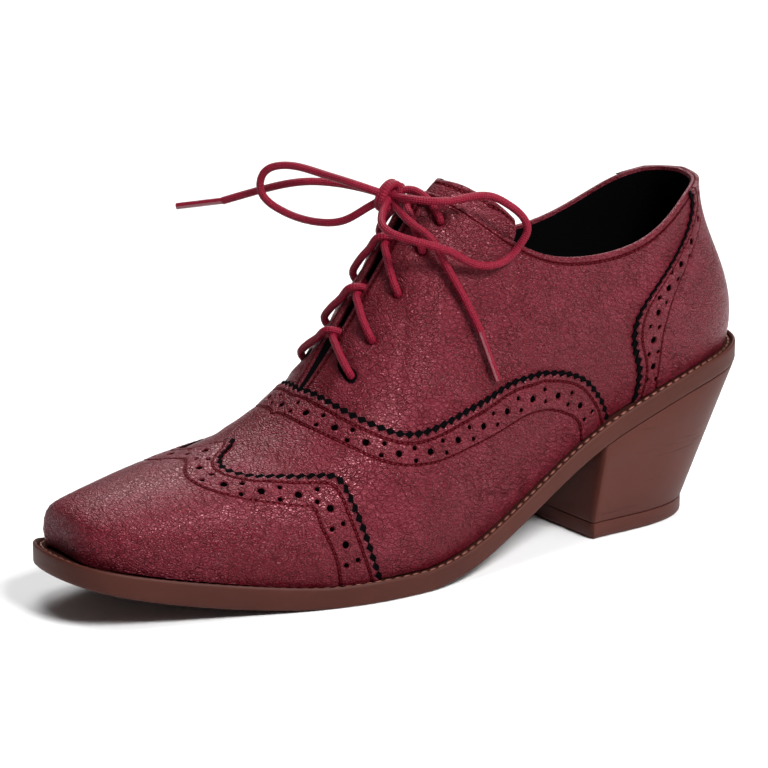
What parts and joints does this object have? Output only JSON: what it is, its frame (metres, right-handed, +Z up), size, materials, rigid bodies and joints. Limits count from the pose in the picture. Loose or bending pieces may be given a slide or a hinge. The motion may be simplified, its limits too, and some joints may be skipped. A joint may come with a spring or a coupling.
{
  "type": "block heel lace-up shoe",
  "caption": "Women's left lace-up wing-tip shoe with a block heel, perforated overlays, welted sole with a snip toe, and a round cord lace tied in a bow.",
  "frame": {"origin": "on the floor under the middle of the sole's length and breadth", "axes": "+X from toe to heel, +Y towards the medial side, +Z up"},
  "size_m": [0.2581, 0.1094, 0.1238],
  "materials": {
    "leather": "pebbled oxblood leather, satin",
    "lining": "black lining",
    "sole": "brown moulded sole",
    "heel": "brown stacked look with fine lines",
    "lace": "round waxed cord",
    "lace_tip": "clear film over the cord"
  },
  "bodies": {
    "root": {"outsole": "sole", "welt": "sole", "heel": "heel", "heel_lift": "sole", "upper": "leather", "wing_cap": "leather", "vamp": "leather", "heel_counter": "leather", "tongue": "leather", "insole": "lining", "lace_crossing_1": "lace", "lace_crossing_2": "lace", "lace_crossing_3": "lace", "lace_crossing_4": "lace", "lace_bar_top": "lace", "lace_knot": "lace", "lace_loop_medial": "lace", "lace_loop_lateral": "lace", "lace_end_medial": "lace", "lace_end_lateral": "lace", "lace_tip_medial": "lace_tip", "lace_tip_lateral": "lace_tip"}
  },
  "joints": []
}
